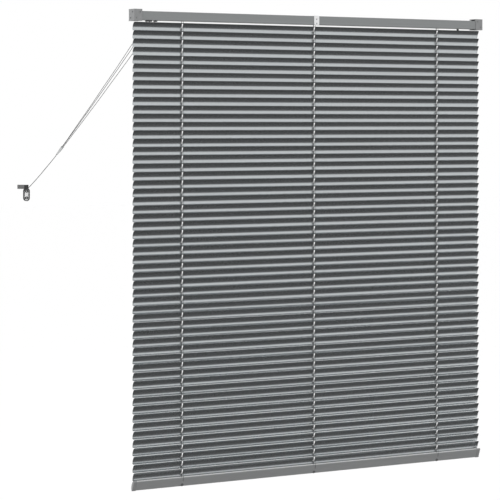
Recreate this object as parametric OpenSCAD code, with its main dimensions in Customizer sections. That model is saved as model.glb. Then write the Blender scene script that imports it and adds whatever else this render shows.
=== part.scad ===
// Venetian blind with curved metal slats, lowered and closed, modelled with its wall side to -Y.
// X runs along the slats, Y from the wall into the room, Z up. The origin is the middle of the
// two wall screws of the centre bracket. All lengths are in millimetres, angles in degrees.

/* [Headrail] */
// Length of the headrail
head_len = 1192; // [1170:1:1240]
// Height of the headrail
head_h = 25; // [25:0.5:28]
// Depth of the headrail from the wall side to the room side
head_d = 25; // [25:0.5:28]
// Sheet thickness of the headrail
head_t = 0.6; // [0.4:0.1:0.8]
// Width of the inward lips along the open top
lip_w = 3; // [2:0.5:4]
// Height of the hem turned down from each lip
hem_h = 2; // [1:0.5:3]
// Height of the headrail's top above the wall screws' middle
head_rise = 15; // [13:0.5:17]

/* [Slats] */
// Number of slats
slat_count = 55; // [20:1:60]
// Length of a slat
slat_len = 1186; // [1150:1:1190]
// Width of a slat, edge to edge
slat_w = 25; // [24:0.5:26]
// Height of a slat's curve
slat_crown = 2.4; // [1.5:0.1:3]
// Sheet thickness of a slat
slat_t = 0.3; // [0.2:0.05:0.5]
// Distance from slat to slat
slat_pitch = 22.75; // [21:0.25:24]
// Tilt of the slats from level, wall edge up
slat_tilt = 69; // [60:1:72]
// Corner radius of a slat's ends
corner_r = 4; // [2:0.5:8]
// Gap from the headrail down to the first slat's upper edge
slat_drop = 4.5; // [4:0.5:12]
// Width of the cord slots in a slat
slot_w = 4; // [4:0.5:6]
// Length of the cord slots across a slat
slot_len = 13; // [12:0.5:14]
// Offset of the cord slots towards a slat's wall edge
slot_shift = 3; // [2:0.5:4]

/* [Ladders and lift cords] */
// Distance of the outer ladders from the slats' ends
ladder_inset = 155; // [120:5:200]
// Width of a ladder string along the slats
string_w = 1; // [0.8:0.1:1.2]
// Thickness of a ladder string
string_t = 0.8; // [0.6:0.1:1]
// Thickness of a rung under a slat
rung_t = 0.6; // [0.4:0.1:0.8]
// Diameter of the lift cords
cord_dia = 1.6; // [1:0.1:1.6]

/* [Tilt shaft] */
// Hexagon tilt rod across its flats
rod_af = 5; // [4:0.5:5.5]
// Height of the tilt rod's axis over the headrail's underside
rod_rise = 14.5; // [14:0.5:15]
// Radius on which the ladders wind
drum_r = 7.5; // [6.5:0.1:7.6]
// Width of the drum between its flanges
drum_w = 8; // [7:0.5:10]
// Radius of the drums' flanges
flange_r = 8.4; // [8.3:0.1:8.5]
// Thickness of the drums' flanges
flange_w = 1.2; // [1:0.1:1.5]
// Radius of the drums' and the gear's bearing journals
journal_r = 4; // [3.5:0.1:4.4]
// Thickness of a cradle's bearing cheeks
cheek_w = 2; // [1.5:0.1:2.5]

/* [Tilter and wand] */
// Distance of the wand from the slats' right end
wand_inset = 71; // [60:1:90]
// Teeth on the tilter's gear
gear_teeth = 16; // [12:1:16]
// Mean radius of the gear's teeth
gear_r = 6.3; // [6:0.1:6.4]
// Half height of the gear's teeth
tooth_h = 0.6; // [0.4:0.05:0.65]
// Face width of the gear
gear_w = 4; // [3:0.5:5]
// Mean radius of the worm
worm_r = 2.2; // [2:0.1:2.3]
// Half depth of the worm's thread
thread_h = 0.7; // [0.5:0.05:0.8]
// Radius of the worm's stem
stem_r = 2.4; // [2:0.1:2.5]
// Length of the wand's rod
wand_len = 560; // [300:10:700]
// Hexagon wand rod across its flats
wand_af = 5; // [4:0.5:5]
// Radius of the wand's top sleeve and grip
sleeve_r = 3.5; // [3.3:0.1:3.6]
// Length of the wand's grip
grip_len = 70; // [40:5:120]

/* [Cord lock] */
// Length of the cord lock along the headrail
lock_len = 44; // [40:1:50]
// Height of the cord lock inside the headrail
lock_h = 20; // [19:0.5:21]
// How far the cord lock's noses stand out under the headrail
nose_h = 3; // [2:0.5:4]
// Width of a nose along the headrail
nose_w = 7; // [5:0.5:9]
// Wall of the cord lock's housing
lock_wall = 2; // [1.5:0.1:2.5]

/* [Brackets] */
// Sheet thickness of the brackets
bracket_t = 1.2; // [1:0.1:1.5]
// Width of a box bracket along the headrail
box_w = 25.5; // [22:0.5:30]
// Free height over the headrail in a box bracket
top_room = 4.1; // [3:0.1:6]
// Free height under the headrail in a box bracket
foot_room = 1; // [0.5:0.1:1.5]
// Radius of the screw holes
screw_r = 2.1; // [1.8:0.1:2.5]
// Distance between a box bracket's two screw holes, along the plate
screw_dx = 11; // [8:0.5:13]
// Distance between a box bracket's two screw holes, in height
screw_dz = 16; // [12:0.5:18]
// Width of the centre bracket
centre_w = 17; // [14:0.5:22]
// Distance between the centre bracket's wall screws
centre_screws = 12; // [10:0.5:14]
// Outer radius of the gate hinge's knuckles
knuckle_r = 1.5; // [1.4:0.1:1.8]
// Radius of the gate hinge's pin
hinge_pin_r = 0.8; // [0.6:0.05:0.9]

/* [Bottom rail] */
// Width of the bottom rail
rail_w = 27; // [25:0.5:28]
// Distance of the bottom rail's middle below the last slat's
rail_drop = 24.5; // [23:0.5:28]
// Outer radius of the bottom rail's folded edges
rail_fold = 1.2; // [1:0.1:1.5]
// Height of the bottom rail's upright edges
rail_side = 2.5; // [2:0.1:3]
// Height of the bottom rail's crown
rail_crown = 4; // [3:0.1:4.2]
// Wall of the bottom rail
rail_t = 0.8; // [0.6:0.1:1]
// Tilt of the bottom rail from level
rail_tilt = 71; // [68:1:73]
// Thickness of an end cap's closed end
cap_t = 2; // [1.5:0.5:5]
// Length of an end cap's sleeve over the bottom rail
cap_sleeve = 9; // [5:0.5:20]
// Radius of the cord buttons under the bottom rail
button_r = 4; // [3:0.5:4]

/* [Cleat and connector] */
// Length of the cord connector
connector_len = 24; // [20:1:30]
// Largest radius of the cord connector
connector_r = 3.8; // [3.6:0.1:4.5]
// Radius of the cleat base's two round ends
lobe_r = 8.5; // [7:0.5:10]
// Distance between the cleat's two screws
cleat_screws = 18; // [16:0.5:20]
// Depth of the cleat's hollow base
cleat_t = 6; // [5:0.5:7]

/* [Hidden] */
$fn = 48;
// clearances: pieces that seat on each other, pieces that run in each other, pieces pushed together
seat_gap = 0.3;
run_gap = 0.05;
push_gap = 0.1;
eps = 0.5;

// headrail faces
head_y0 = bracket_t + seat_gap;
head_y1 = head_y0 + head_d;
head_yc = head_y0 + head_d / 2;
head_z1 = head_rise;
head_z0 = head_z1 - head_h;
floor_z = head_z0 + head_t;
inside_top = head_z1 - hem_h - seat_gap;
head_fold = 1.5;
fold_steps = 3;

// slats and ladders
arc_steps = 6;
corner_steps = 3;
slat_R = (slat_w * slat_w / 4 + slat_crown * slat_crown) / (2 * slat_crown);
slat_half = asin(slat_w / 2 / slat_R);
first_z = head_z0 - slat_drop - slat_w / 2 * sin(slat_tilt);
last_z = first_z - (slat_count - 1) * slat_pitch;
ladder_x = [-(slat_len / 2 - ladder_inset), 0, slat_len / 2 - ladder_inset];
string_bite = 0.2;
string_y = slat_w / 2 * cos(slat_tilt) + string_t / 2 - string_bite;
string_dx = 0.7;
rung_bite = 0.15;
rung_over = 0.5;

// tilt shaft
rod_z = head_z0 + rod_rise;
journal_len = 4;
cheek_x = drum_w / 2 + flange_w + seat_gap;
rod_over = 18;

// tilter
tilter_x = slat_len / 2 - wand_inset;
mesh_gap = 0.25;
worm_y = head_yc + gear_r + worm_r + mesh_gap;
worm_lead = 2 * PI * gear_r / gear_teeth;
worm_turns = 4;
tilter_room = 0.5;
spigot_r = worm_r - thread_h - tilter_room;
stem_lap = 0.2;
tilter_w = 18;
hub_len = 6;
tooth_steps = 8;
collar_h = 1;
collar_r = 3.6;
eye_r = 1.3;
tab_r = 2.5;
tab_w = 3;
collar_z = head_z0 - seat_gap - collar_h;
eye_z = collar_z - 4;
fork_gap = 0.3;
fork_w = 1.8;
fork_len = 5;
sleeve_len = 14;
sleeve_z = eye_z - fork_len;

// bottom rail
rail_R = (rail_w * rail_w / 4 + rail_crown * rail_crown) / (2 * rail_crown);
rail_h = rail_side + rail_crown;
rail_y = head_yc - 1.5;
rail_z = last_z - rail_drop;
rail_steps = 8;
cap_wall = 0.9;
button_edge = 0.5;
button_u = rail_w / 2 - button_r - button_edge;
button_h = 1.6;
button_stem_r = 2;
button_stem = 2;

// lift cords inside the blind
cord_r = cord_dia / 2;
cord_dx = -0.9;
cord_y = head_yc + 1.5;
turn_z = floor_z + 2;
lift_y = 23.5;

// box brackets and their gates
end_gap = 0.5;
bracket_x = head_len / 2 + end_gap + bracket_t;
box_d = bracket_t + seat_gap + head_d + 1.5;
box_h = head_h + foot_room + top_room + 2 * bracket_t;
box_z0 = head_z0 - foot_room - bracket_t;
hinge_y = box_d + knuckle_r - 0.6;
hinge_z = box_z0 + box_h - knuckle_r;
knuckle_w = 6;
gate_y = box_d + seat_gap;
lip_reach = 2;

// the cord lock, its cords, the connector and the cleat are placed from the headrail's left end
left_end = [-head_len / 2, 0, 0];
function from_left(route) = [for (p = route) p + left_end];
// routes of the cords that leave the cord lock: from its nose to the connector
cord_routes = [
    from_left([[50, 23.5, -13], [50, 23.5, -16], [30, 23, -42], [11, 22.5, -67], [-8, 22, -92],
        [-26.5, 21.5, -116.5], [-45, 21, -141], [-64, 21, -165.5], [-83, 20.5, -189.5],
        [-101.5, 20, -213.5], [-120, 19.5, -237.5], [-139, 19, -261.5], [-158, 18.5, -285],
        [-176.5, 18, -308.5], [-195, 17.5, -332], [-214, 17, -355]]),
    from_left([[60, 23.5, -13], [60, 23.5, -16], [39, 23.5, -42], [19.5, 23, -67], [0.5, 23, -92],
        [-19, 22.5, -116.5], [-38.5, 22, -141.5], [-58, 21.5, -165.5], [-77, 21.5, -190],
        [-96.5, 21, -214], [-116, 20.5, -238], [-135.5, 20, -262], [-155, 19.5, -285.5],
        [-174, 19.5, -309.5], [-193.5, 19, -332.5], [-213, 18.5, -356]]),
    from_left([[76, 23.5, -13], [76, 23.5, -16], [54, 23, -42], [33.5, 22.5, -67.5], [13, 22, -92],
        [-7.5, 21.5, -117], [-28, 21, -141.5], [-48.5, 21, -166], [-69, 20.5, -190.5],
        [-89, 20, -214.5], [-109.5, 19.5, -239], [-130, 19, -262.5], [-150.5, 18.5, -286.5],
        [-171, 18, -310], [-191.5, 17.5, -333.5], [-212, 17, -357]])];
// route of the single pull cord, from the connector to the cleat
pull_route = from_left([
    [-229, 17.5, -374.5], [-235, 16.5, -381.5], [-242, 15, -388], [-248.5, 14, -394.5],
    [-255, 13, -401], [-262, 12, -407.5], [-268.5, 11, -414], [-275, 10, -420.5],
    [-282, 8.5, -427], [-288.5, 7.5, -433], [-295.5, 6.5, -439.5], [-302, 5.5, -445.5],
    [-309, 4, -451.5], [-315.5, 3, -457], [-322, 2, -462.5]]);
pull_dia = 1.8;
cord_sides = 8;

// cord lock: its three outlets stand where the free cords begin
outlet_x = [for (route = cord_routes) route[0][0]];
lock_x1 = outlet_x[2] + 12;
lock_x0 = lock_x1 - lock_len;
lock_y0 = head_y0 + head_t + 2;
lock_y1 = head_y1 - head_t - seat_gap;
nose_y0 = lift_y - 8;
nose_y1 = lift_y + 1.7;
nose_z = head_z0 - nose_h;
outlet_z = [floor_z + 16.4, floor_z + 13.4, floor_z + 10.4];
bend_r = 2;
cord_hole_r = cord_r + 0.4;
peg_r = bend_r - cord_r - 0.2;
peg_len = 2.6;
pawl_y = head_yc - 1;
pawl_z = floor_z + 9.4;
pawl_hub_r = 2.5;
pawl_pin_r = 1.5;
pawl_reach = 8.4;
pawl_dip = 30;

// connector and cleat
connector_top = left_end + [-213, 17.5, -356];
connector_lean = 41;
cup_r = 2.9;
cup_deep = 3;
cleat_at = left_end + [-326, 0, -479];
cleat_wall = 1.8;
cleat_skin = 1.5;
neck_w = 9;
arm_len = 27;
arm_h = 11;
arm_w = 6;
arm_turn = 142;
arm_rise = 20.25;
arm_start = [4, 4];

// extrudes a section drawn in Y and Z along X, about x = 0
module along_x(len) {
    rotate([90, 0, 90]) linear_extrude(height = len, center = true) children();
}

// round bar along X, about x = 0
module bar_x(r, len) {
    rotate([0, 90, 0]) cylinder(r = r, h = len, center = true);
}

// hexagon bar along X
module hex_x(af, len) {
    rotate([0, 90, 0]) cylinder(r = af / 2 / cos(30), h = len, center = true, $fn = 6);
}

// quarter turn of a folded edge, clockwise from an angle
function fold_arc(cx, cy, r, from) = [for (i = [0:fold_steps])
    let (a = from - 90 * i / fold_steps) [cx + r * cos(a), cy + r * sin(a)]];

// outline of the headrail shrunk by g: square at the top, folded edges at the bottom
function head_outline(g) = concat([[g, head_h - g], [head_d - g, head_h - g]],
    fold_arc(head_d - head_fold, head_fold, head_fold - g, 0),
    fold_arc(head_fold, head_fold, head_fold - g, -90));

// U-shaped folded section, open at the top between two hemmed lips
module headrail_section() {
    translate([head_y0, head_z0]) difference() {
        polygon(head_outline(0));
        difference() {
            polygon(head_outline(head_t));
            translate([lip_w - head_t, head_h - hem_h]) square([head_t, hem_h]);
            translate([head_d - lip_w, head_h - hem_h]) square([head_t, hem_h]);
        }
        translate([lip_w, head_h / 2]) square([head_d - 2 * lip_w, head_h]);
    }
}

module headrail() {
    color("darkgray") difference() {
        along_x(head_len) headrail_section();
        for (x = ladder_x)
            translate([x, head_yc, head_z0])
                cube([drum_w + 2, 2 * drum_r + 3, 4 * head_t], center = true);
        for (x = outlet_x)
            translate([x - nose_w / 2 - push_gap, nose_y0 - push_gap, head_z0 - eps])
                cube([nose_w + 2 * push_gap, nose_y1 - nose_y0 + 2 * push_gap, head_t + 2 * eps]);
        translate([tilter_x, worm_y, head_z0 - eps])
            cylinder(r = stem_r + seat_gap, h = head_t + 2 * eps);
    }
}

// two screw holes set corner to corner on a plate, drilled along Z
module screw_pair(dx, dy) {
    for (s = [-1, 1])
        translate([s * dx / 2, s * dy / 2, 0])
            cylinder(r = screw_r, h = 4 * bracket_t, center = true);
}

// pressed box that takes the headrail's left end: wall, end, top and bottom plates
module box_bracket() {
    gate_from = knuckle_w;
    gate_len = box_w - 2 * knuckle_w;
    translate([-bracket_x, 0, 0]) difference() {
        union() {
            translate([0, 0, box_z0]) difference() {
                cube([box_w, box_d, box_h]);
                translate([bracket_t, bracket_t, bracket_t])
                    cube([box_w, box_d, box_h - 2 * bracket_t]);
                translate([box_w / 2, bracket_t / 2, box_h / 2])
                    rotate([90, 0, 0]) screw_pair(screw_dx, screw_dz);
                translate([bracket_t / 2, box_d / 2, box_h / 2])
                    rotate([0, 90, 0]) screw_pair(screw_dz, screw_dx);
                translate([box_w / 2, box_d / 2, box_h - bracket_t / 2])
                    screw_pair(screw_dx, screw_dx);
            }
            for (x = [knuckle_w / 2, box_w - knuckle_w / 2])
                translate([x, hinge_y, hinge_z]) bar_x(knuckle_r, knuckle_w);
        }
        translate([box_w / 2, hinge_y, hinge_z]) bar_x(hinge_pin_r + run_gap, box_w + 2 * eps);
        translate([gate_from + gate_len / 2, hinge_y, hinge_z]) bar_x(knuckle_r + seat_gap, gate_len);
    }
}

// flap over the box bracket's open front, hinged on its top edge, with a finger lip
module gate() {
    tongue_len = box_w - 2 * knuckle_w - 2 * seat_gap;
    flap_top = hinge_z - knuckle_r - 2 * seat_gap;
    translate([-bracket_x, 0, 0]) {
        translate([0, gate_y, box_z0]) cube([box_w, bracket_t, flap_top - box_z0]);
        translate([0, gate_y, box_z0]) cube([box_w, bracket_t + lip_reach, bracket_t]);
        translate([box_w / 2 - tongue_len / 2, gate_y, flap_top - eps])
            cube([tongue_len, bracket_t, hinge_z - flap_top + eps]);
        translate([box_w / 2, hinge_y, hinge_z]) bar_x(knuckle_r, tongue_len);
        translate([box_w / 2, hinge_y, hinge_z]) bar_x(hinge_pin_r, box_w - 2 * eps);
    }
}

module left_bracket() { color("silver") box_bracket(); }
module right_bracket() { color("silver") mirror([1, 0, 0]) box_bracket(); }
module left_gate() { color("silver") gate(); }
module right_gate() { color("silver") mirror([1, 0, 0]) gate(); }

// strip bent round the headrail's back, top and front lip
module centre_bracket() {
    top_z = head_z1 + seat_gap + bracket_t;
    front_y = head_y1 + seat_gap + bracket_t;
    color("whitesmoke") difference() {
        along_x(centre_w) {
            translate([0, head_z0]) square([bracket_t, top_z - head_z0]);
            translate([0, top_z - bracket_t]) square([front_y, bracket_t]);
            translate([front_y - bracket_t, top_z - 6]) square([bracket_t, 6]);
        }
        for (s = [-1, 1])
            translate([0, 0, s * centre_screws / 2])
                rotate([90, 0, 0]) cylinder(r = screw_r, h = 4 * bracket_t, center = true);
        translate([0, head_yc, top_z - bracket_t / 2])
            cylinder(r = screw_r, h = 4 * bracket_t, center = true);
    }
}

module tilt_rod() {
    x0 = ladder_x[0] - rod_over;
    x1 = tilter_x + rod_over;
    color("gainsboro") translate([(x0 + x1) / 2, head_yc, rod_z]) hex_x(rod_af, x1 - x0);
}

// flanged drum on which a ladder's two strings hang
module drum(x) {
    color("white") translate([x, head_yc, rod_z]) difference() {
        union() {
            bar_x(drum_r, drum_w + eps);
            for (s = [-1, 1]) translate([s * (drum_w + flange_w) / 2, 0, 0]) bar_x(flange_r, flange_w);
            bar_x(journal_r, drum_w + 2 * flange_w + 2 * journal_len);
        }
        hex_x(rod_af + 2 * push_gap, drum_w + 4 * journal_len);
    }
}

// saddle clipped over the headrail's hole, with two open bearings for the drum
module cradle(x) {
    half_d = drum_r + 1;
    base_t = 1;
    cheek_top = rod_z + journal_r;
    color("white") translate([x, head_yc, 0]) difference() {
        union() {
            translate([-cheek_x - cheek_w, -half_d - 1, floor_z])
                cube([2 * (cheek_x + cheek_w), 2 * half_d + 2, base_t]);
            for (s = [-1, 1])
                translate([s * (cheek_x + cheek_w / 2), 0, (floor_z + cheek_top) / 2])
                    cube([cheek_w, 2 * half_d - 1, cheek_top - floor_z], center = true);
        }
        translate([0, 0, floor_z]) cube([drum_w, 2 * half_d, 4 * base_t], center = true);
        translate([0, 0, rod_z]) bar_x(journal_r + run_gap, 3 * cheek_x);
        translate([0, 0, rod_z + journal_r])
            cube([3 * cheek_x, 2 * (journal_r + run_gap), 2 * journal_r], center = true);
    }
}

module left_drum() { drum(ladder_x[0]); }
module centre_drum() { drum(ladder_x[1]); }
module right_drum() { drum(ladder_x[2]); }
module left_cradle() { cradle(ladder_x[0]); }
module centre_cradle() { cradle(ladder_x[1]); }
module right_cradle() { cradle(ladder_x[2]); }

// block in the headrail that carries the gear in two open saddles and the worm in two bores
module tilter_housing() {
    y0 = head_y0 + head_t + 1;
    y1 = head_y1 - head_t - seat_gap;
    gear_slot = gear_w + 2;
    gear_room = gear_r + tooth_h + tilter_room;
    worm_room = worm_r + thread_h + tilter_room;
    worm_z0 = rod_z - worm_turns / 2 * worm_lead;
    worm_z1 = rod_z + worm_turns / 2 * worm_lead;
    color("dimgray") difference() {
        translate([tilter_x - tilter_w / 2, y0, floor_z])
            cube([tilter_w, y1 - y0, inside_top - floor_z]);
        translate([tilter_x, head_yc, rod_z]) {
            bar_x(gear_room, gear_slot);
            translate([0, 0, gear_room]) cube([gear_slot, 2 * gear_room, 2 * gear_room], center = true);
            bar_x(journal_r + run_gap, 2 * tilter_w);
            translate([0, 0, gear_room])
                cube([2 * tilter_w, 2 * (journal_r + run_gap), 2 * gear_room], center = true);
        }
        translate([tilter_x, worm_y, floor_z - eps])
            cylinder(r = stem_r + run_gap, h = worm_z0 - floor_z + eps);
        translate([tilter_x, worm_y, worm_z0 - seat_gap])
            cylinder(r = worm_room, h = worm_z1 - worm_z0 + 2 * seat_gap);
        translate([tilter_x, worm_y, rod_z]) cylinder(r = spigot_r + run_gap, h = head_h);
    }
}

function gear_point(i) = let (
    a = i * 360 / (gear_teeth * tooth_steps),
    r = gear_r + tooth_h * cos(gear_teeth * a))
    [r * cos(a), r * sin(a)];

// worm wheel with rounded teeth and a journal on each side
module tilter_gear() {
    color("white") translate([tilter_x, head_yc, rod_z]) difference() {
        union() {
            along_x(gear_w) polygon([for (i = [0:gear_teeth * tooth_steps - 1]) gear_point(i)]);
            bar_x(journal_r, gear_w + 2 * hub_len);
        }
        hex_x(rod_af + 2 * push_gap, gear_w + 4 * hub_len);
    }
}

// right-hand worm on a stem that leaves the headrail and ends in a flat eye
module tilter_worm() {
    worm_h = worm_turns * worm_lead;
    color("dimgray") translate([tilter_x, worm_y, 0]) {
        translate([0, 0, rod_z - worm_h / 2])
            linear_extrude(height = worm_h, twist = -360 * worm_turns, slices = 8 * worm_turns)
                translate([0, thread_h]) circle(r = worm_r, $fn = 16);
        translate([0, 0, rod_z]) cylinder(r = spigot_r, h = inside_top - rod_z);
        translate([0, 0, collar_z]) cylinder(r = stem_r, h = rod_z - worm_h / 2 - collar_z + stem_lap);
        translate([0, 0, collar_z]) cylinder(r = collar_r, h = collar_h);
        difference() {
            union() {
                translate([-tab_w / 2, -tab_r, eye_z]) cube([tab_w, 2 * tab_r, collar_z - eye_z]);
                translate([0, 0, eye_z]) bar_x(tab_r, tab_w);
            }
            translate([0, 0, eye_z]) bar_x(eye_r, 2 * tab_w);
        }
    }
}

// fork that hangs on the stem's eye by its cross pin, with a socket for the wand
module wand_hook() {
    fork_x = tab_w / 2 + fork_gap;
    color("dimgray") translate([tilter_x, worm_y, 0]) difference() {
        union() {
            for (s = [-1, 1]) translate([s * (fork_x + fork_w / 2), 0, 0]) {
                translate([0, 0, eye_z]) bar_x(tab_r, fork_w);
                translate([0, 0, eye_z - fork_len / 2]) cube([fork_w, 2 * tab_r, fork_len], center = true);
            }
            translate([0, 0, eye_z]) bar_x(eye_r - run_gap, 2 * fork_x + fork_w);
            translate([0, 0, sleeve_z - sleeve_len]) cylinder(r = sleeve_r, h = sleeve_len + 1);
        }
        translate([0, 0, sleeve_z - sleeve_len - eps])
            cylinder(r = wand_af / 2 / cos(30) + push_gap, h = sleeve_len - 2 + eps, $fn = 6);
    }
}

module wand_rod() {
    color("lightgray") translate([tilter_x, worm_y, sleeve_z - 2 - wand_len])
        cylinder(r = wand_af / 2 / cos(30), h = wand_len - push_gap, $fn = 6);
}

// moulded grip pushed over the wand's lower end, waisted for the fingers
module wand_grip() {
    grip_z = sleeve_z - 2 - wand_len;
    socket = 12;
    color("lightgray") translate([tilter_x, worm_y, grip_z - grip_len + socket]) difference() {
        rotate_extrude() polygon([[0, 0], [sleeve_r - 1, 0], [sleeve_r, 1.5], [sleeve_r, grip_len * 0.25],
            [sleeve_r - 0.8, grip_len * 0.6], [sleeve_r, grip_len - 6], [sleeve_r, grip_len], [0, grip_len]]);
        translate([0, 0, grip_len - socket])
            cylinder(r = wand_af / 2 / cos(30) + push_gap, h = socket + eps, $fn = 6);
    }
}

// housing of the cord lock, with one nose and outlet per cord through the headrail's floor
module lock_housing() {
    color("dimgray") difference() {
        union() {
            translate([lock_x0, lock_y0, floor_z]) cube([lock_len, lock_y1 - lock_y0, lock_h]);
            for (x = outlet_x)
                translate([x - nose_w / 2, nose_y0, nose_z])
                    cube([nose_w, nose_y1 - nose_y0, floor_z - nose_z + eps]);
        }
        translate([lock_x0 + lock_wall, lock_y0 + lock_wall, floor_z + lock_wall])
            cube([lock_len - 2 * lock_wall, lift_y + 1.1 - lock_y0 - lock_wall, lock_h]);
        for (i = [0:2]) {
            translate([outlet_x[i], lift_y, nose_z - eps]) cylinder(r = cord_hole_r, h = lock_h);
            translate([lock_x1, lift_y, outlet_z[i]]) bar_x(cord_hole_r, 4 * lock_wall);
        }
        translate([(lock_x0 + lock_x1) / 2, pawl_y, pawl_z]) bar_x(pawl_pin_r + run_gap, 2 * lock_len);
    }
}

// three pegs in the housing's room-side wall, over which the cords turn down
module lock_pegs() {
    color("gainsboro") for (i = [0:2])
        translate([outlet_x[i] + bend_r, lift_y + 1.1, outlet_z[i] - bend_r])
            rotate([90, 0, 0]) cylinder(r = peg_r, h = peg_len);
}

// toothed bar that swings up against the cords to hold them
module lock_pawl() {
    bar_len = lock_len - 2 * lock_wall - 2 * seat_gap;
    color("white") translate([(lock_x0 + lock_x1) / 2, pawl_y, pawl_z]) {
        bar_x(pawl_hub_r, bar_len);
        bar_x(pawl_pin_r, lock_len);
        along_x(bar_len) rotate(-pawl_dip)
            polygon([[0, -1.8], [pawl_reach - 2, -1.8], [pawl_reach - 1, -1.2], [pawl_reach - 1.6, -0.6],
                [pawl_reach - 0.5, 0], [pawl_reach - 1.2, 0.6], [pawl_reach, 1.2], [0, 1.8]]);
    }
}

function slat_arc(radius, steps) = [for (i = [0:steps])
    let (a = slat_half * (2 * i / steps - 1)) [radius * sin(a), radius * cos(a) - slat_R + slat_crown]];
function reversed(points) = [for (i = [len(points) - 1:-1:0]) points[i]];
function round_end(cx, cy, from) = [for (i = [0:corner_steps])
    let (a = from + 90 * i / corner_steps) [cx + corner_r * cos(a), cy + corner_r * sin(a)]];

// one slat lying flat, crown up: a curved strip with rounded corners and three cord slots
module slat() {
    end_x = slat_len / 2 - corner_r;
    end_y = slat_w / 2 - corner_r;
    difference() {
        intersection() {
            along_x(slat_len)
                polygon(concat(slat_arc(slat_R, arc_steps), reversed(slat_arc(slat_R + slat_t, arc_steps))));
            translate([0, 0, -slat_w / 2]) linear_extrude(height = slat_w)
                polygon(concat(round_end(end_x, end_y, 0), round_end(-end_x, end_y, 90),
                    round_end(-end_x, -end_y, 180), round_end(end_x, -end_y, 270)));
        }
        for (x = ladder_x)
            translate([x, -slot_shift, 0]) cube([slot_w, slot_len, slat_w], center = true);
    }
}

// point on the bottom rail's section, u across it and v up from its underside, as Y and Z
function on_rail(u, v) = [rail_y + u * cos(rail_tilt) + v * sin(rail_tilt),
    rail_z - u * sin(rail_tilt) + v * cos(rail_tilt)];
// height of the bottom rail's crown at a given y
function crown_z(y) = let (c = on_rail(0, rail_h - rail_R)) c[1] + sqrt(rail_R * rail_R - pow(y - c[0], 2));

// flat strip of string from one point to the next in Y and Z
module strip(a, b, t) {
    d = b - a;
    translate(a) rotate(atan2(d[1], d[0])) translate([0, -t / 2]) square([norm(d), t]);
}

// one ladder: a string on each side from drum to bottom rail, and a rung under every slat
module ladder() {
    drum_y = drum_r + seat_gap + string_t / 2;
    bend_z = head_z0 - slat_drop + 1;
    rail_top = on_rail(-rail_w / 2 - 0.7, -0.6);
    rail_low = on_rail(button_u - button_r - 0.3, -0.6);
    wall_end = last_z - 1;
    along_x(string_w) {
        for (s = [-1, 1]) {
            strip([head_yc + s * drum_y, rod_z], [head_yc + s * string_y, bend_z], string_t);
            translate([head_yc + s * string_y, bend_z]) circle(d = string_t, $fn = 8);
        }
        strip([head_yc - string_y, bend_z], [head_yc - string_y, wall_end], string_t);
        translate([head_yc - string_y, wall_end]) circle(d = string_t, $fn = 8);
        strip([head_yc - string_y, wall_end], rail_top, string_t);
        translate(rail_top) circle(d = string_t, $fn = 8);
        strip(rail_top, rail_low, string_t);
        strip([head_yc + string_y, bend_z],
            [head_yc + string_y, crown_z(head_yc + string_y - string_t / 2) + seat_gap], string_t);
        for (k = [0:slat_count - 1])
            translate([head_yc, first_z - k * slat_pitch]) rotate(-slat_tilt)
                translate([-slat_w / 2 - rung_over, -rung_t])
                    square([slat_w + 2 * rung_over, rung_t + rung_bite]);
    }
}

module slats_on_ladders() {
    color("gray") {
        for (k = [0:slat_count - 1])
            translate([0, head_yc, first_z - k * slat_pitch]) rotate([-slat_tilt, 0, 0]) slat();
        for (x = ladder_x) translate([x + string_dx, 0, 0]) ladder();
    }
}

// section of the bottom rail grown by g: flat underside, upright edges and a crowned top
function rail_outline(g) = let (
    half = rail_w / 2 + g,
    R = rail_R + g,
    spread = asin(half / R),
    fold = rail_w / 2 - rail_fold)
    concat(fold_arc(fold, rail_fold, rail_fold + g, 0), fold_arc(-fold, rail_fold, rail_fold + g, -90),
        [for (i = [0:rail_steps]) let (a = spread * (2 * i / rail_steps - 1))
            [R * sin(a), max(-g + 0.2, R * cos(a) - rail_R + rail_h)]]);

// stands a rail section at the rail's place and tilt, len long, with its near end at x
module on_the_rail(x, len) {
    translate([x, rail_y, rail_z]) rotate([-rail_tilt, 0, 0])
        rotate([90, 0, 90]) linear_extrude(height = len) children();
}

module bottom_rail() {
    color("gray") difference() {
        on_the_rail(-slat_len / 2, slat_len) difference() {
            polygon(rail_outline(0));
            polygon(rail_outline(-rail_t));
        }
        for (x = ladder_x)
            translate([x, rail_y, rail_z]) rotate([-rail_tilt, 0, 0])
                translate([0, button_u, 0])
                    cylinder(r = button_stem_r + push_gap, h = 4 * rail_t, center = true);
    }
}

// moulded cap: a sleeve pushed over the rail's end, closed outside
module rail_cap() {
    color("dimgray") difference() {
        on_the_rail(-slat_len / 2 - cap_t, cap_t + cap_sleeve) polygon(rail_outline(push_gap + cap_wall));
        on_the_rail(-slat_len / 2, cap_sleeve + eps) polygon(rail_outline(push_gap));
    }
}
module left_rail_cap() { rail_cap(); }
module right_rail_cap() { mirror([1, 0, 0]) rail_cap(); }

// button under the rail that holds a ladder's strings and a lift cord's knot
module button(x) {
    color("dimgray") translate([x, rail_y, rail_z]) rotate([-rail_tilt, 0, 0]) translate([0, button_u, 0]) {
        translate([0, 0, -button_h]) cylinder(r = button_r, h = button_h);
        translate([0, 0, -eps]) cylinder(r = button_stem_r, h = eps + button_stem);
    }
}
module left_button() { button(ladder_x[0]); }
module centre_button() { button(ladder_x[1]); }
module right_button() { button(ladder_x[2]); }

function unit(v) = v / norm(v);
function heading(route, i) = unit(route[min(i + 1, len(route) - 1)] - route[max(i - 1, 0)]);
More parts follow.
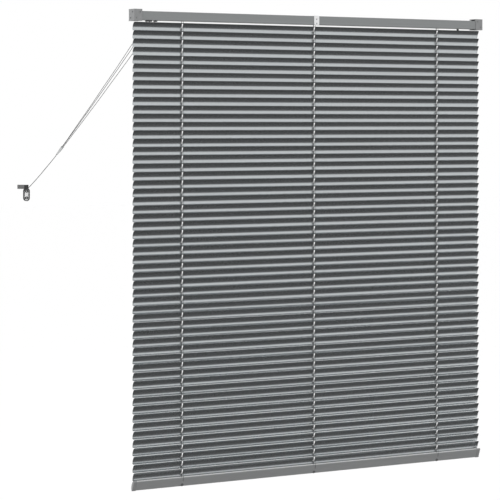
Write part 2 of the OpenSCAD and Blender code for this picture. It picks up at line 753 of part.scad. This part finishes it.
// side direction of a ring, carried from the ring before it so that the tube doesn't twist
function ring_side(route, i) = let (t = heading(route, i))
    i == 0 ? unit(cross([0, 1, 0], t)) : let (u = ring_side(route, i - 1)) unit(u - (u * t) * t);
function ring(route, i, r) = let (t = heading(route, i), u = ring_side(route, i), v = cross(t, u))
    [for (k = [0:cord_sides - 1]) let (a = 360 * k / cord_sides) route[i] + r * (cos(a) * u + sin(a) * v)];

// tube swept along a route, one ring of points at each of its points
module cord_tube(route, dia) {
    n = len(route);
    m = cord_sides;
    points = [for (i = [0:n - 1]) each ring(route, i, dia / 2)];
    sides = [for (i = [0:n - 2], k = [0:m - 1])
        [i * m + k, (i + 1) * m + k, (i + 1) * m + (k + 1) % m, i * m + (k + 1) % m]];
    first = [for (k = [0:m - 1]) k];
    last = [for (k = [m - 1:-1:0]) (n - 1) * m + k];
    polyhedron(points, concat(sides, [first, last]));
}

// three points that round a corner of a route
function round_corner(before, corner, after) =
    let (a = unit(before - corner), b = unit(after - corner), m = bend_r * (1 - sqrt(0.5)))
    [corner + bend_r * a, corner + m * (a + b), corner + bend_r * b];

// route of lift cord i: up through the slats, along the headrail and down through the cord lock
function lift_route(i) = let (
    x = ladder_x[i] + cord_dx,
    out = 2 - i,
    start = [x, cord_y, crown_z(cord_y + cord_r) + 2 * seat_gap],
    corner = [x, cord_y, turn_z],
    side = [x, lift_y, turn_z],
    lock_in = [lock_x1 + 4, lift_y, outlet_z[out]],
    over = [outlet_x[out], lift_y, outlet_z[out]],
    end = [outlet_x[out], lift_y, nose_z])
    concat([start], round_corner(start, corner, side), round_corner(corner, side, lock_in),
        [lock_in], round_corner(lock_in, over, end), [end]);

module left_lift_cord() { color("lightgray") cord_tube(lift_route(0), cord_dia); }
module centre_lift_cord() { color("lightgray") cord_tube(lift_route(1), cord_dia); }
module right_lift_cord() { color("lightgray") cord_tube(lift_route(2), cord_dia); }
module left_free_cord() { color("lightgray") cord_tube(cord_routes[2], cord_dia); }
module centre_free_cord() { color("lightgray") cord_tube(cord_routes[1], cord_dia); }
module right_free_cord() { color("lightgray") cord_tube(cord_routes[0], cord_dia); }
module pull_cord() { color("lightgray") cord_tube(pull_route, pull_dia); }

// turned connector that joins the three cords to one, cupped at its top and tapered below
module cord_connector() {
    rim = connector_len + cup_deep;
    cup_floor = connector_len - seat_gap;
    color("gainsboro") translate(connector_top) rotate([0, connector_lean, 0])
        translate([0, 0, -connector_len])
            rotate_extrude() polygon([[0, 0], [1.6, 0], [2.2, 2], [connector_r - 0.6, connector_len * 0.55],
                [connector_r, connector_len - 5], [connector_r, rim], [cup_r, rim],
                [cup_r, cup_floor], [0, cup_floor]]);
}

// oblong with two round ends about the cleat's screws
module cleat_plan(r) {
    for (s = [-1, 1]) translate([0, s * cleat_screws / 2]) circle(r = r);
    square([2 * r, cleat_screws], center = true);
}

// wall cleat: oblong base, hollow to the wall round two screw bosses, and one arm into the room
module cord_cleat() {
    neck_z = cleat_screws / 2 + screw_r + 1;
    color("lightgray") translate(cleat_at) {
        rotate([-90, 0, 0]) difference() {
            linear_extrude(height = cleat_t) cleat_plan(lobe_r);
            translate([0, 0, -eps]) linear_extrude(height = cleat_t - cleat_skin + eps) difference() {
                cleat_plan(lobe_r - cleat_wall);
                for (s = [-1, 1]) translate([0, s * cleat_screws / 2]) circle(r = screw_r + cleat_wall);
            }
            for (s = [-1, 1])
                translate([0, s * cleat_screws / 2, -eps]) cylinder(r = screw_r, h = cleat_t + 2 * eps);
        }
        translate([-neck_w / 2, 0, neck_z])
            cube([neck_w, cleat_t, arm_rise + arm_h / 2 - neck_z]);
        translate([arm_start[0], arm_start[1], arm_rise]) rotate([0, 0, arm_turn])
            translate([0, -arm_w / 2, -arm_h / 2]) cube([arm_len, arm_w, arm_h]);
    }
}

headrail();
left_bracket();
right_bracket();
left_gate();
right_gate();
centre_bracket();
tilt_rod();
left_drum();
centre_drum();
right_drum();
left_cradle();
centre_cradle();
right_cradle();
tilter_housing();
tilter_gear();
tilter_worm();
wand_hook();
wand_rod();
wand_grip();
lock_housing();
lock_pegs();
lock_pawl();
slats_on_ladders();
bottom_rail();
left_rail_cap();
right_rail_cap();
left_button();
centre_button();
right_button();
left_lift_cord();
centre_lift_cord();
right_lift_cord();
left_free_cord();
centre_free_cord();
right_free_cord();
cord_connector();
pull_cord();
cord_cleat();
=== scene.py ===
import math
import random

import bpy
from mathutils import Matrix, Vector


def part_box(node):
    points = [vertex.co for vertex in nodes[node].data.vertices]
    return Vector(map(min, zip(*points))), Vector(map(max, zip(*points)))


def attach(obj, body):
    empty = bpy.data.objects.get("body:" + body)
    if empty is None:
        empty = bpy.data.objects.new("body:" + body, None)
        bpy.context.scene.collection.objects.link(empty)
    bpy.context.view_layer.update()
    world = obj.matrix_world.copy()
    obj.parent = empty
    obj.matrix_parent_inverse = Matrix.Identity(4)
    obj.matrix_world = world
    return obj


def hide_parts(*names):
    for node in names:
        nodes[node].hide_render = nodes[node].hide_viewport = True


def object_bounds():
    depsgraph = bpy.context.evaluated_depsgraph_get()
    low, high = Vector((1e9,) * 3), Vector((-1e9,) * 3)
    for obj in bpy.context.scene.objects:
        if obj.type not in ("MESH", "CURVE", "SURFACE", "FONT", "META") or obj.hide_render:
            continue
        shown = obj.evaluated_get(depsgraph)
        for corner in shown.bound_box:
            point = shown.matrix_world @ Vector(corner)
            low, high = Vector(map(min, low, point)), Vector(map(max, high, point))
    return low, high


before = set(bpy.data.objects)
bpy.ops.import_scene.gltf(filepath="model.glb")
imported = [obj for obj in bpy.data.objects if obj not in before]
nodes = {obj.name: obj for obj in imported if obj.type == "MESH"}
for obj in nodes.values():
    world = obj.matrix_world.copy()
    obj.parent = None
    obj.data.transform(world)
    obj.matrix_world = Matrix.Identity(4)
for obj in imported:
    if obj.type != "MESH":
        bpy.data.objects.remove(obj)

cad_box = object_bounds()
scene = bpy.context.scene


# Camera. A long lens at the height of the upper slats, standing to the left on the wall side
# of the blind. The lens axis is level, and the shift lowers the picture to take in the drop.
LENS_PIXELS = 2283
IMAGE_PIXELS = 500
HORIZON_ROW = 123.2
AXIS_COLUMN = 250.8
SENSOR = 36.0
FAR_CLIP = 60
CAMERA_AT = Vector((-3.6436, -5.4071, -0.2907))
CAMERA_YAW = math.radians(-32.317)


def add_object(name, data):
    """Puts a camera, lamp, curve or mesh into the scene."""
    thing = bpy.data.objects.new(name, data)
    scene.collection.objects.link(thing)
    return thing


camera_data = bpy.data.cameras.new("photo_camera")
camera_data.sensor_width = SENSOR
camera_data.lens = LENS_PIXELS / IMAGE_PIXELS * SENSOR
camera_data.shift_x = (IMAGE_PIXELS / 2 - AXIS_COLUMN) / IMAGE_PIXELS
camera_data.shift_y = (HORIZON_ROW - IMAGE_PIXELS / 2) / IMAGE_PIXELS
camera_data.clip_end = FAR_CLIP
camera = add_object("photo_camera", camera_data)
camera.location = CAMERA_AT
camera.rotation_euler = (math.radians(90), 0, CAMERA_YAW)
scene.camera = camera
scene.view_settings.view_transform = "Standard"


# Free cords. Three braided polyester cords leave the cord lock's noses and run taut to the
# connector, and one thicker pull cord goes on from it to the wall cleat.
CORD_DIAMETER = 0.0016
PULL_DIAMETER = 0.0018
CORD_ROUNDNESS = 2
FREE_ROUTES = {
    "right_free_cord": [
        (-0.546, 0.0235, -0.013), (-0.546, 0.0235, -0.016), (-0.566, 0.023, -0.042),
        (-0.585, 0.0225, -0.067), (-0.604, 0.022, -0.092), (-0.6225, 0.0215, -0.1165),
        (-0.641, 0.021, -0.141), (-0.66, 0.021, -0.1655), (-0.679, 0.0205, -0.1895),
        (-0.6975, 0.02, -0.2135), (-0.716, 0.0195, -0.2375), (-0.735, 0.019, -0.2615),
        (-0.754, 0.0185, -0.285), (-0.7725, 0.018, -0.3085), (-0.791, 0.0175, -0.332),
        (-0.81, 0.017, -0.355)],
    "centre_free_cord": [
        (-0.536, 0.0235, -0.013), (-0.536, 0.0235, -0.016), (-0.557, 0.0235, -0.042),
        (-0.5765, 0.023, -0.067), (-0.5955, 0.023, -0.092), (-0.615, 0.0225, -0.1165),
        (-0.6345, 0.022, -0.1415), (-0.654, 0.0215, -0.1655), (-0.673, 0.0215, -0.19),
        (-0.6925, 0.021, -0.214), (-0.712, 0.0205, -0.238), (-0.7315, 0.02, -0.262),
        (-0.751, 0.0195, -0.2855), (-0.77, 0.0195, -0.3095), (-0.7895, 0.019, -0.3325),
        (-0.809, 0.0185, -0.356)],
    "left_free_cord": [
        (-0.52, 0.0235, -0.013), (-0.52, 0.0235, -0.016), (-0.542, 0.023, -0.042),
        (-0.5625, 0.0225, -0.0675), (-0.583, 0.022, -0.092), (-0.6035, 0.0215, -0.117),
        (-0.624, 0.021, -0.1415), (-0.6445, 0.021, -0.166), (-0.665, 0.0205, -0.1905),
        (-0.685, 0.02, -0.2145), (-0.7055, 0.0195, -0.239), (-0.726, 0.019, -0.2625),
        (-0.7465, 0.0185, -0.2865), (-0.767, 0.018, -0.31), (-0.7875, 0.0175, -0.3335),
        (-0.808, 0.017, -0.357)],
    "pull_cord": [
        (-0.825, 0.0175, -0.3745), (-0.831, 0.0165, -0.3815), (-0.838, 0.015, -0.388),
        (-0.8445, 0.014, -0.3945), (-0.851, 0.013, -0.401), (-0.858, 0.012, -0.4075),
        (-0.8645, 0.011, -0.414), (-0.871, 0.01, -0.4205), (-0.878, 0.0085, -0.427),
        (-0.8845, 0.0075, -0.433), (-0.8915, 0.0065, -0.4395), (-0.898, 0.0055, -0.4455),
        (-0.905, 0.004, -0.4515), (-0.9115, 0.003, -0.457), (-0.918, 0.002, -0.4625)],
}
CORD_ENDS = {
    "left_free_cord": ("connector", CORD_DIAMETER, "cord_connector"),
    "centre_free_cord": ("connector", CORD_DIAMETER, "cord_connector"),
    "right_free_cord": ("connector", CORD_DIAMETER, "cord_connector"),
    "pull_cord": ("fitting", PULL_DIAMETER, "cord_cleat"),
}
CLOUD_SCALE, CLOUD_DETAIL = 1, 4
GRAIN_SCALE, GRAIN_DETAIL = 14, 2
NOISE_MIDDLE = 0.5
BUMP_DEPTH = 0.0002


def maths(tree, operation, second=None):
    """A math node in a node tree, with its second input set where that is constant."""
    node = tree.nodes.new("ShaderNodeMath")
    node.operation = operation
    if second is not None:
        node.inputs[1].default_value = second
    return node


def noise(tree, place, scale, detail):
    """The value of a noise texture in a node tree, laid out by a vector socket."""
    node = tree.nodes.new("ShaderNodeTexNoise")
    node.inputs["Scale"].default_value = scale
    node.inputs["Detail"].default_value = detail
    tree.links.new(place, node.inputs["Vector"])
    return node.outputs["Fac"]


def mottle_group():
    """Cloudy change of tone and gloss over a surface, with fine grain as bump height."""
    group = bpy.data.node_groups.new("mottle", "ShaderNodeTree")
    for name, kind in (("Colour", "NodeSocketColor"), ("Change", "NodeSocketFloat"),
                       ("Stretch", "NodeSocketVector"), ("Gloss", "NodeSocketFloat")):
        group.interface.new_socket(name, in_out="INPUT", socket_type=kind)
    for name, kind in (("Colour", "NodeSocketColor"), ("Roughness", "NodeSocketFloat"),
                       ("Height", "NodeSocketFloat")):
        group.interface.new_socket(name, in_out="OUTPUT", socket_type=kind)
    new, link = group.nodes.new, group.links.new
    inputs, outputs = new("NodeGroupInput"), new("NodeGroupOutput")
    place, stretch = new("ShaderNodeTexCoord"), new("ShaderNodeVectorMath")
    stretch.operation = "MULTIPLY"
    link(place.outputs["Object"], stretch.inputs[0])
    link(inputs.outputs["Stretch"], stretch.inputs[1])
    cloud = noise(group, stretch.outputs[0], CLOUD_SCALE, CLOUD_DETAIL)
    grain = noise(group, stretch.outputs[0], GRAIN_SCALE, GRAIN_DETAIL)
    centre = maths(group, "SUBTRACT", NOISE_MIDDLE)
    link(cloud, centre.inputs[0])
    amount = maths(group, "MULTIPLY_ADD")
    amount.inputs[2].default_value = 1
    link(centre.outputs[0], amount.inputs[0])
    link(inputs.outputs["Change"], amount.inputs[1])
    tone = new("ShaderNodeVectorMath")
    tone.operation = "SCALE"
    link(inputs.outputs["Colour"], tone.inputs[0])
    link(amount.outputs[0], tone.inputs["Scale"])
    gloss = maths(group, "MULTIPLY")
    link(amount.outputs[0], gloss.inputs[0])
    link(inputs.outputs["Gloss"], gloss.inputs[1])
    link(tone.outputs[0], outputs.inputs["Colour"])
    link(gloss.outputs[0], outputs.inputs["Roughness"])
    link(grain, outputs.inputs["Height"])
    return group


mottle = mottle_group()


def shader_of(material):
    """A material's one shader."""
    return material.node_tree.nodes["Principled BSDF"]


def plain_finish(name, colour, roughness, metallic=0.0):
    """A material with one tone and gloss all over."""
    material = bpy.data.materials.new(name)
    material.use_nodes = True
    shader = shader_of(material)
    shader.inputs["Base Color"].default_value = (*colour, 1)
    shader.inputs["Roughness"].default_value = roughness
    shader.inputs["Metallic"].default_value = metallic
    return material


def mottled(name, colour, roughness, metallic=0.0, *, stretch, change, bump):
    """A finish with the mottle group: stretch in clouds per metre, strength of tone and bump."""
    material = plain_finish(name, colour, roughness, metallic)
    tree, shader = material.node_tree, shader_of(material)
    cloud = tree.nodes.new("ShaderNodeGroup")
    cloud.node_tree = mottle
    cloud.inputs["Colour"].default_value = (*colour, 1)
    cloud.inputs["Change"].default_value = change
    cloud.inputs["Stretch"].default_value = stretch
    cloud.inputs["Gloss"].default_value = roughness
    height = tree.nodes.new("ShaderNodeBump")
    height.inputs["Strength"].default_value = bump
    height.inputs["Distance"].default_value = BUMP_DEPTH
    tree.links.new(cloud.outputs["Colour"], shader.inputs["Base Color"])
    tree.links.new(cloud.outputs["Roughness"], shader.inputs["Roughness"])
    tree.links.new(cloud.outputs["Height"], height.inputs["Height"])
    tree.links.new(height.outputs["Normal"], shader.inputs["Normal"])
    return material


cord_braid = mottled("cord_braid", (0.08, 0.08, 0.082), 0.8,
                     stretch=(900, 900, 900), change=0.7, bump=0.6)


def round_curve(name, radius, roundness, material):
    """A curve with a round section, still without lines."""
    curve = bpy.data.curves.new(name, "CURVE")
    curve.dimensions = "3D"
    curve.bevel_depth = radius
    curve.bevel_resolution = roundness
    curve.materials.append(material)
    return curve


def add_line(curve, line, thickness=1.0):
    """Adds one open line through the given points to a curve."""
    spline = curve.splines.new("POLY")
    spline.points.add(len(line) - 1)
    for point, place in zip(spline.points, line):
        point.co = (*place, 1)
        point.radius = thickness


def free_cord(name, diameter):
    """A round cord on one open line along its route, in place of its CAD node."""
    curve = round_curve(name + "_line", diameter / 2, CORD_ROUNDNESS, cord_braid)
    curve.use_fill_caps = True
    add_line(curve, FREE_ROUTES[name])
    cord = add_object(name + "_braid", curve)
    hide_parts(name)
    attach(cord, "blind")
    return cord


for name, (far_end, diameter, carried) in CORD_ENDS.items():
    free_cord(name, diameter)


# Lift cords. The same braided cord inside the blind: from the cord lock along the headrail,
# and down through the slats' slots to the bottom rail.
def dress(material, *names):
    """Gives CAD nodes a finish in place of their plain one."""
    for name in names:
        mesh = nodes[name].data
        mesh.materials.clear()
        mesh.materials.append(material)


dress(cord_braid, "left_lift_cord", "centre_lift_cord", "right_lift_cord")


# Headrail. A channel folded from thin steel strip, with inward lips along its open top. The
# strip is stove enamelled in satin grey before folding; the brackets carry it.
headrail_enamel = mottled("headrail_enamel", (0.265, 0.277, 0.279), 0.42,
                          stretch=(3, 60, 60), change=0.16, bump=0.05)
dress(headrail_enamel, "headrail")


# Box brackets and gates. Pressed sheet steel with grey zinc, held by screws in wall or reveal.
# Each gate closes the room side and swings on a pin along its upper edge.
bracket_zinc = mottled("bracket_zinc", (0.288, 0.293, 0.296), 0.45, 0.35,
                       stretch=(120, 120, 120), change=0.3, bump=0.12)
dress(bracket_zinc, "left_bracket", "right_bracket", "left_gate", "right_gate")


# Centre bracket. A white enamelled strip bent over the headrail's back, top and front lip,
# and held by two screws in the wall.
bracket_white = mottled("bracket_white", (0.96, 0.965, 0.97), 0.38,
                        stretch=(90, 90, 90), change=0.06, bump=0.06)
dress(bracket_white, "centre_bracket")


# Tilt rod and lock pegs. Drawn bright steel, with lengthwise drawing marks: a hexagon rod
# through drums and gear, and the pegs that the cords bend over in the cord lock.
rod_steel = mottled("rod_steel", (0.55, 0.55, 0.56), 0.3, 1.0,
                    stretch=(4, 500, 500), change=0.25, bump=0.1)
dress(rod_steel, "tilt_rod", "lock_pegs")


# Drums, cradles, gear and pawl. White plastic mouldings inside the headrail: the drums wind
# the ladders and turn in the cradles, the gear turns the rod, the pawl grips the cords.
white_plastic = mottled("white_plastic", (0.78, 0.78, 0.76), 0.5,
                        stretch=(200, 200, 200), change=0.08, bump=0.15)
dress(white_plastic, "left_drum", "centre_drum", "right_drum",
      "left_cradle", "centre_cradle", "right_cradle", "tilter_gear", "lock_pawl")


# Tilter, wand hook and cord lock. Dark grey plastic mouldings: two housings that sit in the
# headrail, the worm with its stem, and the hook that hangs in the stem's eye.
dark_plastic = mottled("dark_plastic", (0.02, 0.02, 0.021), 0.48,
                       stretch=(220, 220, 220), change=0.25, bump=0.2)
dress(dark_plastic, "tilter_housing", "tilter_worm", "wand_hook", "lock_housing")


# Cord buttons. Mouldings of a lighter grey plastic, one at each ladder, with a stem that is
# pressed into the bottom rail's underside.
button_plastic = mottled("button_plastic", (0.13, 0.132, 0.133), 0.48,
                         stretch=(220, 220, 220), change=0.25, bump=0.2)
dress(button_plastic, "left_button", "centre_button", "right_button")


# Wand and connector. Clear plastic, extruded for the wand's rod and moulded for its grip and
# the connector. The wand hangs on its hook, the connector on the free cords.
CLEAR_INDEX = 1.46
CLEAR_SHARE = 0.75


def clear_finish(name, colour, roughness):
    """A mottled finish that lets most of the light through."""
    material = mottled(name, colour, roughness, stretch=(150, 150, 150), change=0.08, bump=0.05)
    shader_of(material).inputs["Transmission Weight"].default_value = CLEAR_SHARE
    shader_of(material).inputs["IOR"].default_value = CLEAR_INDEX
    return material


clear_plastic = clear_finish("clear_plastic", (0.62, 0.63, 0.63), 0.08)
dress(clear_plastic, "wand_rod", "wand_grip", "cord_connector")


# Cleat. The same plastic moulded hollow and screwed to the wall: light through its thin skin.
# Its colour holds painted shade, near black, on its upright walls and its arm's end, and on the
# faces close to the wall.
# Painted shade: its near-black colour, how fast it gives way as a face turns to the room, and
# how far from the wall the skin keeps the plastic's own colour.
PAINTED_WALL_SHADE = (0.008, 0.009, 0.009, 1)
WALL_FALL = 7
SKIN_FROM = 0.0043
CLEAT_SHEEN = 0.2


def colour_mix(tree):
    """A mix node for colours in a node tree: its factor, its two colours and its result."""
    mix = tree.nodes.new("ShaderNodeMix")
    mix.data_type = "RGBA"
    first, second = [s for s in mix.inputs if s.type == "RGBA"]
    return mix.inputs["Factor"], first, second, next(s for s in mix.outputs if s.type == "RGBA")


cleat_plastic = clear_finish("cleat_plastic", (0.95, 0.95, 0.95), 0.06)
cleat_shader = shader_of(cleat_plastic)
cleat_shader.inputs["Specular IOR Level"].default_value = CLEAT_SHEEN
cleat_tree = cleat_plastic.node_tree
cleat_link = cleat_tree.links.new
surface = cleat_tree.nodes.new("ShaderNodeNewGeometry")
facing, place = [cleat_tree.nodes.new("ShaderNodeSeparateXYZ") for _ in range(2)]
flat_on = maths(cleat_tree, "ABSOLUTE")
skin_share = maths(cleat_tree, "POWER", WALL_FALL)
at_skin = maths(cleat_tree, "GREATER_THAN", SKIN_FROM)
on_skin = maths(cleat_tree, "MULTIPLY")
# Painted shade: faces turned away from the room, and faces close to the wall, take the
# near-black colour in place of the plastic's own.
share, painted_wall_shade, skin_colour, cleat_colour = colour_mix(cleat_tree)
painted_wall_shade.default_value = PAINTED_WALL_SHADE
cleat_link(surface.outputs["True Normal"], facing.inputs[0])
cleat_link(facing.outputs["Y"], flat_on.inputs[0])
cleat_link(flat_on.outputs[0], skin_share.inputs[0])
cleat_link(surface.outputs["Position"], place.inputs[0])
cleat_link(place.outputs["Y"], at_skin.inputs[0])
cleat_link(skin_share.outputs[0], on_skin.inputs[0])
cleat_link(at_skin.outputs[0], on_skin.inputs[1])
cleat_link(on_skin.outputs[0], share)
cleat_link(cleat_shader.inputs["Base Color"].links[0].from_socket, skin_colour)
cleat_link(cleat_colour, cleat_shader.inputs["Base Color"])
dress(cleat_plastic, "cord_cleat")


# Slats. Aluminium strip rolled to a shallow curve, enamelled silver grey, cut with rounded
# corners and punched with a slot at each ladder. They lie closed, wall edge up.
SLAT_COUNT = 55
SLAT_LENGTH = 1.186
SLAT_WIDTH = 0.025
SLAT_CROWN = 0.0024
SLAT_SHEET = 0.0003
SLAT_PITCH = 0.02275
SLAT_TILT = 69
SLAT_DROP = 0.0045
CORNER = 0.004
SLOT_WIDTH = 0.004
SLOT_LENGTH = 0.013
SLOT_SHIFT = 0.003
LADDERS = {"left_ladder": -0.438, "centre_ladder": 0.0, "right_ladder": 0.438}
STACK_Y = 0.014
FIRST_SLAT = (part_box("headrail")[0][2] - SLAT_DROP
              - SLAT_WIDTH / 2 * math.sin(math.radians(SLAT_TILT)))
TILT_PLAY = 0.6
HEIGHT_PLAY = 0.00015
HANG_SEED = 55
SLAT_ROWS = 20
CORNER_STEPS = 5
SHARP_ANGLE = math.radians(40)

slat_radius = (SLAT_WIDTH ** 2 / 4 + SLAT_CROWN ** 2) / (2 * SLAT_CROWN)
slat_half_angle = math.asin(SLAT_WIDTH / 2 / slat_radius)


def slat_columns():
    """Places along a slat with its half width there: rounded ends, and the slots' edges."""
    end = SLAT_LENGTH / 2
    columns = []
    for step in range(CORNER_STEPS + 1):
        inset = CORNER * (1 - math.cos(math.radians(90 * step / CORNER_STEPS)))
        half = SLAT_WIDTH / 2 - CORNER + math.sqrt(max(0, CORNER ** 2 - (CORNER - inset) ** 2))
        columns += [(-end + inset, half), (end - inset, half)]
    for x in LADDERS.values():
        columns += [(x - SLOT_WIDTH / 2, SLAT_WIDTH / 2), (x + SLOT_WIDTH / 2, SLAT_WIDTH / 2)]
    return sorted(columns)


def in_slot(x, v):
    """True where a slot is punched, x along the slat and v across it."""
    along = any(abs(x - ladder) < SLOT_WIDTH / 2 for ladder in LADDERS.values())
    return along and abs(v + SLOT_SHIFT) < SLOT_LENGTH / 2


def slat_form():
    """Points and faces of one slat lying flat, crown up: two curved skins and their rim."""
    columns = slat_columns()
    rows = SLAT_ROWS + 1
    skin = len(columns) * rows
    points = []
    for sheet in (0, SLAT_SHEET):
        for x, half in columns:
            for row in range(rows):
                angle = slat_half_angle * (2 * row / SLAT_ROWS - 1) * half / (SLAT_WIDTH / 2)
                radius = slat_radius + sheet
                points.append(Vector((x, radius * math.sin(angle),
                                      radius * math.cos(angle) - slat_radius + SLAT_CROWN)))
    faces, rims = [], {}
    for c in range(len(columns) - 1):
        middle = (columns[c][0] + columns[c + 1][0]) / 2
        for row in range(SLAT_ROWS):
            if in_slot(middle, SLAT_WIDTH * ((row + 0.5) / SLAT_ROWS - 0.5)):
                continue
            a, b = c * rows + row, (c + 1) * rows + row
            under = (a, a + 1, b + 1, b)
            faces.append(under)
            faces.append(tuple(i + skin for i in reversed(under)))
            for i, j in zip(under, under[1:] + under[:1]):
                if rims.pop((j, i), None) is None:
                    rims[(i, j)] = True
    faces += [(j, i, i + skin, j + skin) for i, j in rims]
    return points, faces


slat_points, slat_faces = slat_form()
hang = random.Random(HANG_SEED)
stack_points, stack_faces, slat_places = [], [], []
for k in range(SLAT_COUNT):
    slat_z = FIRST_SLAT - k * SLAT_PITCH + hang.uniform(-HEIGHT_PLAY, HEIGHT_PLAY)
    tilt = math.radians(-SLAT_TILT + hang.uniform(-TILT_PLAY, TILT_PLAY))
    middle, turn = Vector((0, STACK_Y, slat_z)), Matrix.Rotation(tilt, 3, "X")
    first = len(stack_points)
    stack_points += [middle + turn @ p for p in slat_points]
    stack_faces += [tuple(i + first for i in face) for face in slat_faces]
    slat_places.append((middle, turn))
slat_mesh = bpy.data.meshes.new("slats")
slat_mesh.from_pydata(stack_points, [], stack_faces)
slat_mesh.update()
slat_mesh.shade_smooth()
slat_mesh.set_sharp_from_angle(angle=SHARP_ANGLE)

slat_enamel = mottled("slat_enamel", (0.516, 0.541, 0.554), 0.17, 0.9,
                      stretch=(2.5, 120, 120), change=0.16, bump=0.03)
slat_mesh.materials.append(slat_enamel)
slats = add_object("slats", slat_mesh)
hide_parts("slats_on_ladders")
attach(slats, "blind")


# Ladders. Two strings of braided polyester a ladder, with a rung under every slat. They hang
# on the drums, and the wall-side string goes on over the bottom rail's upper edge.
STRING_RADIUS = 0.0005
STRING_ROUNDNESS = 1
RUNG_RADIUS = 0.00035
STRING_DX = 0.0007
STRING_OUT = 0.0047
STRING_ABOVE = 0.0127
STRING_BELOW = 0.009
RUNG_UNDER = 0.0004
DRUM_Y = 0.0082
DRUM_Z = 0.0045
RAIL_TURN = ((-0.0006, -0.004), (0.0015, -0.012))
rail_low, rail_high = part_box("bottom_rail")
ladder_braid = mottled("ladder_braid", (0.05, 0.052, 0.053), 0.8,
                       stretch=(900, 900, 900), change=0.5, bump=0.6)

for name, x in LADDERS.items():
    curve = round_curve(name, STRING_RADIUS, STRING_ROUNDNESS, ladder_braid)
    for side in (-1, 1):
        string_y = STACK_Y + side * STRING_OUT
        string = [(STACK_Y + side * DRUM_Y, DRUM_Z), (string_y, FIRST_SLAT + STRING_ABOVE)]
        string += [(string_y, middle.z) for middle, _ in slat_places]
        string.append((string_y, slat_places[-1][0].z - STRING_BELOW))
        if side < 0:
            string += [(rail_low[1] + dy, rail_high[2] + dz) for dy, dz in RAIL_TURN]
        add_line(curve, [Vector((x + STRING_DX, y, z)) for y, z in string])
    for middle, turn in slat_places:
        across = [turn @ Vector((0, v, -RUNG_UNDER)) for v in (-SLAT_WIDTH / 2, SLAT_WIDTH / 2)]
        rung = [middle + p + Vector((x + STRING_DX, 0, 0)) for p in across]
        add_line(curve, rung, RUNG_RADIUS / STRING_RADIUS)
    ladder = add_object(name, curve)
    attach(ladder, "blind")


# Bottom rail. A closed steel section rolled with a crowned top and enamelled in satin grey.
# It hangs on the lift cords and keeps the ladders straight.
rail_enamel = mottled("rail_enamel", (0.4, 0.408, 0.412), 0.32, 0.3,
                      stretch=(3, 90, 90), change=0.14, bump=0.05)
dress(rail_enamel, "bottom_rail")


# Rail caps. Grey plastic mouldings, each a sleeve with a closed end, pushed over the bottom
# rail's ends.
cap_plastic = mottled("cap_plastic", (0.28, 0.284, 0.286), 0.5,
                      stretch=(180, 180, 180), change=0.12, bump=0.2)
dress(cap_plastic, "left_rail_cap", "right_rail_cap")


# Studio. A white floor well under the hanging blind and a white backdrop. What the blind
# mirrors is bright above and dim below, and a soft lamp lights it from the left.
FLOOR_DROP = 0.45
FLOOR_HALF = 30
DIM = 0.066
DIM_UPPER = 0.124
DIM_FROM = 0.075
DIM_TOP = 0.262
BRIGHT_FROM = 0.302
WHITE = (1, 1, 1, 1)
LAMP_SIZE = 2.0
LAMP_POWER = 45
LAMP_AT = (-4.5, -0.6, 0.6)

floor_mesh = bpy.data.meshes.new("studio_floor")
floor_z = cad_box[0][2] - FLOOR_DROP
floor_mesh.from_pydata([(sx * FLOOR_HALF, sy * FLOOR_HALF, floor_z)
                        for sx, sy in ((-1, -1), (1, -1), (1, 1), (-1, 1))], [], [(0, 1, 2, 3)])
floor_mesh.materials.append(plain_finish("floor_paint", (1, 1, 1), 0.9))
floor = add_object("studio_floor", floor_mesh)
floor.visible_glossy = False
floor.visible_diffuse = False
floor.visible_transmission = False

world = bpy.data.worlds.new("studio_light")
world.use_nodes = True
sky = world.node_tree.nodes
wire = world.node_tree.links.new
direction, height = sky.new("ShaderNodeTexCoord"), sky.new("ShaderNodeSeparateXYZ")
wire(direction.outputs["Generated"], height.inputs[0])
rise = sky.new("ShaderNodeMapRange")
rise.inputs["From Min"].default_value = -1
rise.inputs["From Max"].default_value = 1
wire(height.outputs["Z"], rise.inputs["Value"])
ramp = sky.new("ShaderNodeValToRGB")
stops = ramp.color_ramp.elements
stops[0].position = DIM_FROM
stops[0].color = (DIM, DIM, DIM, 1)
stops[1].position = BRIGHT_FROM
stops[1].color = WHITE
stops.new(DIM_TOP).color = (DIM_UPPER, DIM_UPPER, DIM_UPPER, 1)
wire(rise.outputs[0], ramp.inputs["Fac"])
seen = sky.new("ShaderNodeLightPath")
direct, mirrored, backdrop, sky_colour = colour_mix(world.node_tree)
backdrop.default_value = WHITE
wire(ramp.outputs["Color"], mirrored)
wire(seen.outputs["Is Camera Ray"], direct)
wire(sky_colour, sky["Background"].inputs["Color"])
scene.world = world

lamp_data = bpy.data.lights.new("side_light", "AREA")
lamp_data.size = LAMP_SIZE
lamp_data.energy = LAMP_POWER
lamp = add_object("side_light", lamp_data)
lamp.location = LAMP_AT
lamp.rotation_euler = (math.radians(90), 0, math.radians(-90))
lamp.visible_glossy = False
